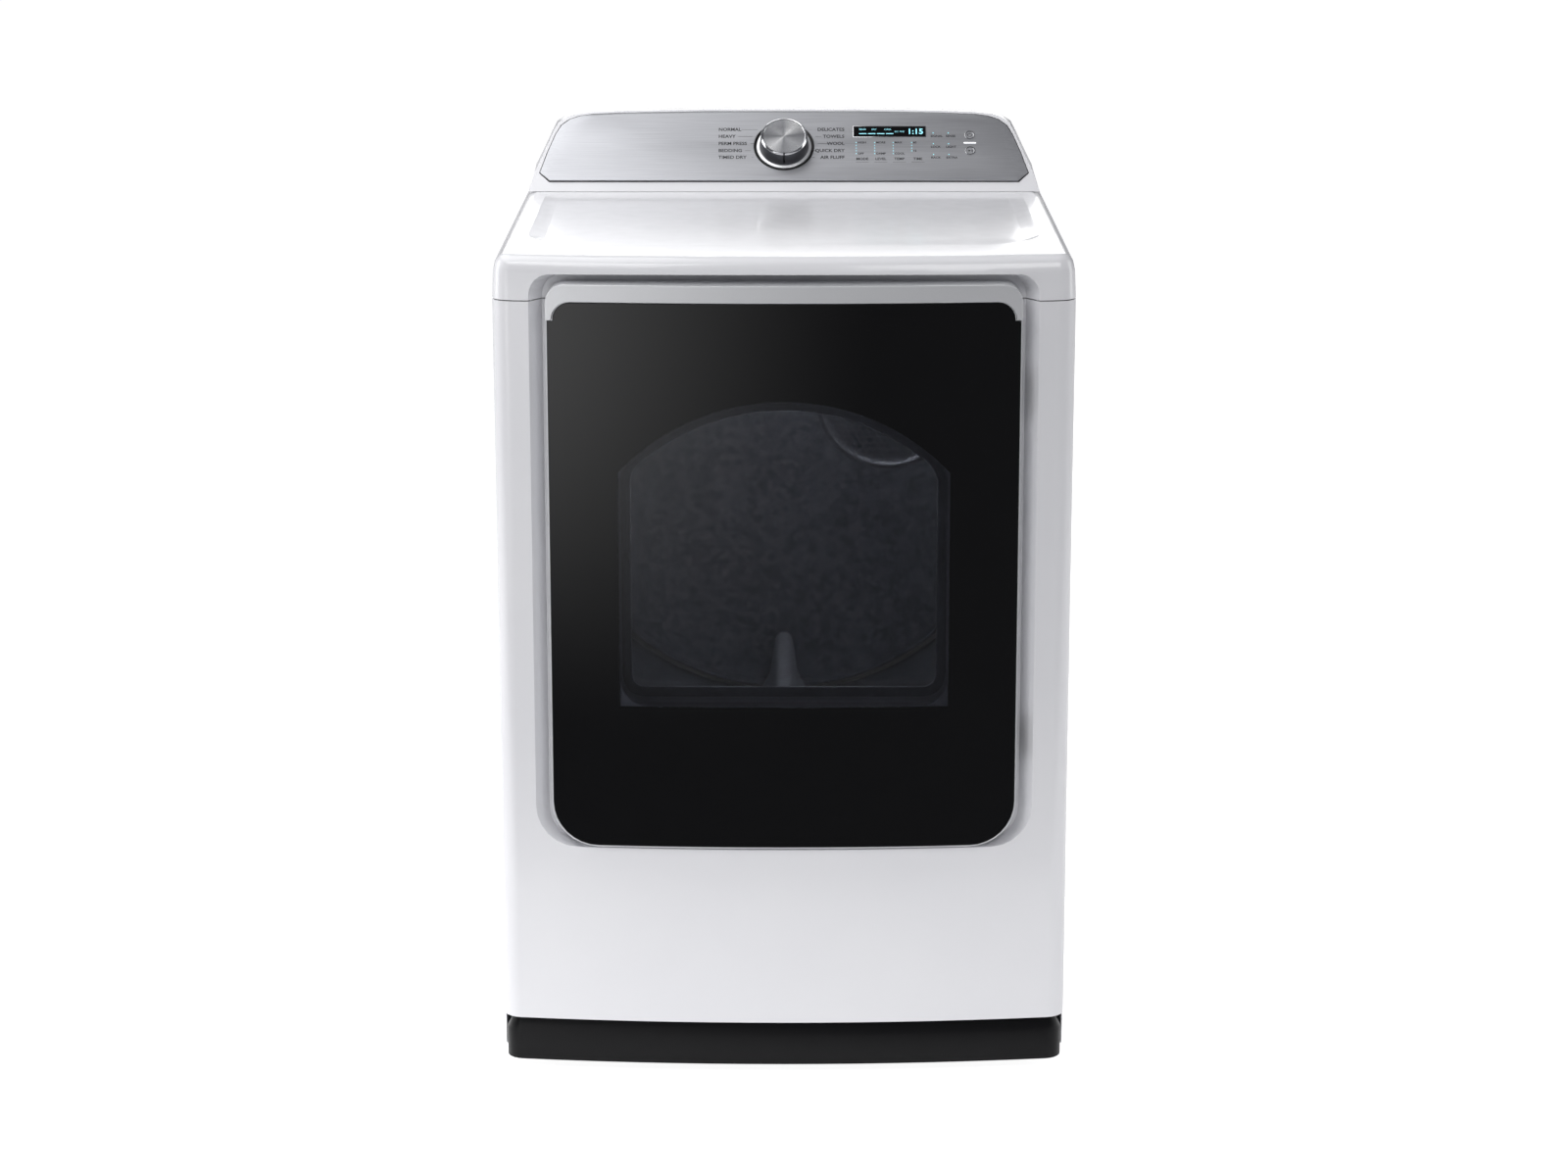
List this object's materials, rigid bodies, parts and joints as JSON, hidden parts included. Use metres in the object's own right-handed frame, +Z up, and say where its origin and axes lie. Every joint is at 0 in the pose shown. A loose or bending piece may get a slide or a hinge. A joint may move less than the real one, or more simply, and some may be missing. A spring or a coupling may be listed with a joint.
{
  "type": "clothes dryer",
  "caption": "Full-size white clothes dryer with bowed front, black glass side-swing door, wide silver handle, black plinth and tilted rear control console.",
  "frame": {"origin": "middle of the overall box at floor level, handle and exhaust stub included", "axes": "+Z up, front of the dryer towards -Y, +X to the right of a person facing it"},
  "size_m": [0.686, 0.75, 1.103],
  "materials": {
    "enamel": "glossy white enamel",
    "white_plastic": "white moulded plastic",
    "black_plastic": "satin black moulded plastic",
    "grey_plastic": "grey moulded plastic",
    "black_glass": "black tinted glass, highly polished",
    "clear_glass": "clear tempered glass",
    "brushed_steel": "horizontally brushed silver plate",
    "satin_silver": "satin silver",
    "galvanised": "galvanised sheet",
    "steel": "plain steel",
    "felt": "wool felt",
    "rubber": "black rubber",
    "circuit": "green circuit board",
    "nichrome": "oxidised heating alloy",
    "motor_paint": "dark grey paint"
  },
  "bodies": {
    "cabinet": {"base_pan": "galvanised", "blower_housing": "grey_plastic", "console_fascia": "brushed_steel", "console_housing": "enamel", "control_board": "circuit", "display_window": "black_glass", "door_latch": "white_plastic", "drive_belt": "rubber", "drive_motor": "motor_paint", "drum_light": "clear_glass", "exhaust_duct": "galvanised", "front_bulkhead": "white_plastic", "front_drum_seal": "felt", "front_panel": "enamel", "heater_duct": "galvanised", "heater_element": "nichrome", "hinge_bracket_lower": "steel", "hinge_bracket_upper": "steel", "inlet_grille": "galvanised", "kick_plate": "black_plastic", "moisture_sensor": "white_plastic", "motor_bracket": "galvanised", "rear_bulkhead": "galvanised", "rear_drum_seal": "felt", "rear_panel": "galvanised", "side_panel_left": "enamel", "side_panel_right": "enamel", "terminal_cover": "galvanised", "top_panel": "enamel"},
    "drum": {"drum_shell": "galvanised", "drum_baffle_1": "white_plastic", "drum_baffle_2": "white_plastic", "drum_baffle_3": "white_plastic"},
    "roller_front_left": {"drum_roller_front_left": "rubber"},
    "roller_front_right": {"drum_roller_front_right": "rubber"},
    "roller_rear_left": {"drum_roller_rear_left": "rubber"},
    "roller_rear_right": {"drum_roller_rear_right": "rubber"},
    "motor_rotor": {"motor_shaft": "steel", "blower_wheel": "grey_plastic"},
    "idler_lever": {"idler_arm": "steel"},
    "idler_wheel": {"idler_pulley": "grey_plastic"},
    "door": {"door_frame": "satin_silver", "door_glass": "black_glass", "door_handle": "satin_silver", "door_inner_panel": "white_plastic", "door_window": "clear_glass", "door_seal": "rubber", "door_strike": "white_plastic", "door_hinge_lower": "steel", "door_hinge_upper": "steel"},
    "knob": {"cycle_knob": "satin_silver"},
    "power_key": {"power_button": "brushed_steel"},
    "start_key": {"start_button": "brushed_steel"},
    "filter": {"lint_filter": "grey_plastic"},
    "leveller_front_left": {"foot_front_left": "rubber"},
    "leveller_front_right": {"foot_front_right": "rubber"},
    "leveller_rear_left": {"foot_rear_left": "rubber"},
    "leveller_rear_right": {"foot_rear_right": "rubber"}
  },
  "joints": [
    {"name": "door_swing", "type": "hinge", "parent": "cabinet", "child": "door", "pos_m": [0.268, -0.3415, 0.636], "axis": [0, 0, 1], "range_deg": [0, 105]},
    {"name": "drum_spin", "type": "hinge", "parent": "cabinet", "child": "drum", "pos_m": [0, 0, 0.636], "axis": [0, 1, 0], "continuous": true},
    {"name": "roller_front_left_spin", "type": "hinge", "parent": "cabinet", "child": "roller_front_left", "pos_m": [-0.20781, -0.2277, 0.33922], "axis": [0, 1, 0], "continuous": true},
    {"name": "roller_rear_left_spin", "type": "hinge", "parent": "cabinet", "child": "roller_rear_left", "pos_m": [-0.20781, 0.2423, 0.33922], "axis": [0, 1, 0], "continuous": true},
    {"name": "roller_front_right_spin", "type": "hinge", "parent": "cabinet", "child": "roller_front_right", "pos_m": [0.20781, -0.2277, 0.33922], "axis": [0, 1, 0], "continuous": true},
    {"name": "roller_rear_right_spin", "type": "hinge", "parent": "cabinet", "child": "roller_rear_right", "pos_m": [0.20781, 0.2423, 0.33922], "axis": [0, 1, 0], "continuous": true},
    {"name": "motor_spin", "type": "hinge", "parent": "cabinet", "child": "motor_rotor", "pos_m": [0.075, 0, 0.125], "axis": [0, 1, 0], "continuous": true},
    {"name": "idler_swing", "type": "hinge", "parent": "cabinet", "child": "idler_lever", "pos_m": [0, 0.02, 0.112], "axis": [0, -1, 0], "range_deg": [0, 8], "stiffness_Nm_per_rad": 3},
    {"name": "idler_spin", "type": "hinge", "parent": "idler_lever", "child": "idler_wheel", "pos_m": [0.003, 0.02, 0.175], "axis": [0, 1, 0], "continuous": true},
    {"name": "knob_turn", "type": "hinge", "parent": "cabinet", "child": "knob", "pos_m": [0, 0.25753, 1.05953], "axis": [0, -0.7071, 0.7071], "continuous": true},
    {"name": "power_press", "type": "slide", "parent": "cabinet", "child": "power_key", "axis": [0, 0.7071, -0.7071], "range_m": [0, 0.0008], "stiffness_N_per_m": 1500},
    {"name": "start_press", "type": "slide", "parent": "cabinet", "child": "start_key", "axis": [0, 0.7071, -0.7071], "range_m": [0, 0.0008], "stiffness_N_per_m": 1500},
    {"name": "lint_filter_slide", "type": "slide", "parent": "cabinet", "child": "filter", "axis": [0, 0, 1], "range_m": [0, 0.2]},
    {"name": "foot_front_left_adjust", "type": "slide", "parent": "cabinet", "child": "leveller_front_left", "axis": [0, 0, -1], "range_m": [0, 0.02]},
    {"name": "foot_front_right_adjust", "type": "slide", "parent": "cabinet", "child": "leveller_front_right", "axis": [0, 0, -1], "range_m": [0, 0.02]},
    {"name": "foot_rear_left_adjust", "type": "slide", "parent": "cabinet", "child": "leveller_rear_left", "axis": [0, 0, -1], "range_m": [0, 0.02]},
    {"name": "foot_rear_right_adjust", "type": "slide", "parent": "cabinet", "child": "leveller_rear_right", "axis": [0, 0, -1], "range_m": [0, 0.02]}
  ],
  "couplings": [
    {"joint": "roller_front_left_spin", "follows": "drum_spin", "ratio": -9.3429},
    {"joint": "roller_rear_left_spin", "follows": "drum_spin", "ratio": -9.3429},
    {"joint": "roller_front_right_spin", "follows": "drum_spin", "ratio": -9.3429},
    {"joint": "roller_rear_right_spin", "follows": "drum_spin", "ratio": -9.3429},
    {"joint": "motor_spin", "follows": "drum_spin", "ratio": 34.421},
    {"joint": "idler_spin", "follows": "drum_spin", "ratio": -13.18}
  ]
}
